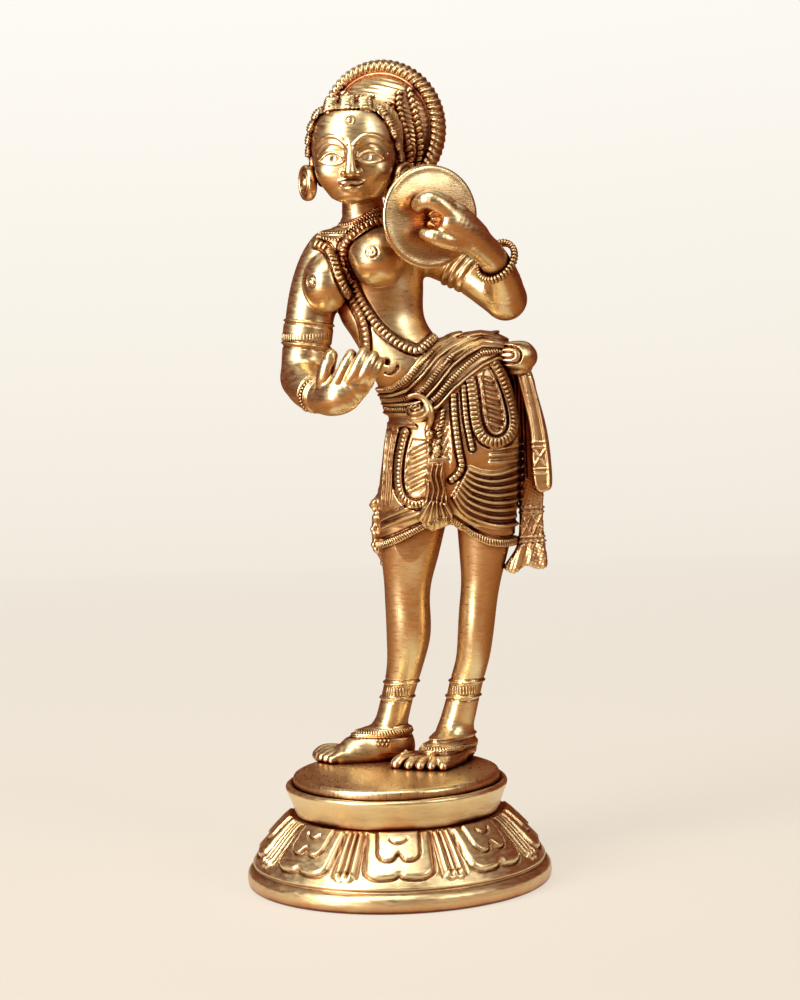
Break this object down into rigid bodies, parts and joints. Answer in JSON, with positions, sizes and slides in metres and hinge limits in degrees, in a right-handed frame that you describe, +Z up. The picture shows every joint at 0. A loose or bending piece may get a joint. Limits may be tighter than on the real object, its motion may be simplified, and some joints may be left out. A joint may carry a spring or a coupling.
{
  "type": "apsara figurine",
  "caption": "Cast brass figure of a dancing celestial woman on a round lotus pedestal, one hand raised with a round hand mirror, hair in a large round bun.",
  "frame": {"origin": "centre of the lotus pedestal's flat underside", "axes": "+Z up through the figure, -Y towards the display front, +X to the figure's own left"},
  "size_m": [0.0838, 0.0806, 0.216],
  "materials": {
    "brass": "satin cast brass with dark antique patina in the recesses"
  },
  "bodies": {
    "root": {"base_drum": "brass", "brow_mark": "brass", "centre_pleat": "brass", "centre_tassel": "brass", "collar": "brass", "girdle_band_1": "brass", "girdle_band_2": "brass", "girdle_band_3": "brass", "girdle_band_4": "brass", "girdle_band_5": "brass", "girdle_band_6": "brass", "girdle_clasp": "brass", "hair_bun": "brass", "hair_cap": "brass", "hand_mirror": "brass", "head": "brass", "inner_chest_cord": "brass", "left_armlet": "brass", "left_bangle": "brass", "left_ear_disc": "brass", "left_foot": "brass", "left_forearm": "brass", "left_hand": "brass", "left_hem_band": "brass", "left_hip_knot": "brass", "left_leg": "brass", "left_lower_anklet": "brass", "left_sash_long_tail": "brass", "left_sash_short_tail": "brass", "left_thigh_panel": "brass", "left_thigh_strand": "brass", "left_thigh_swag": "brass", "left_upper_anklet": "brass", "left_upper_arm": "brass", "lotus_base": "brass", "outer_chest_cord": "brass", "right_armlet": "brass", "right_bangle": "brass", "right_ear_disc": "brass", "right_foot": "brass", "right_forearm": "brass", "right_hand": "brass", "right_hem_band": "brass", "right_leg": "brass", "right_lower_anklet": "brass", "right_sash_tail": "brass", "right_thigh_panel": "brass", "right_thigh_swag": "brass", "right_upper_anklet": "brass", "right_upper_arm": "brass", "skirt": "brass", "top_plate": "brass", "torso": "brass"}
  },
  "joints": []
}
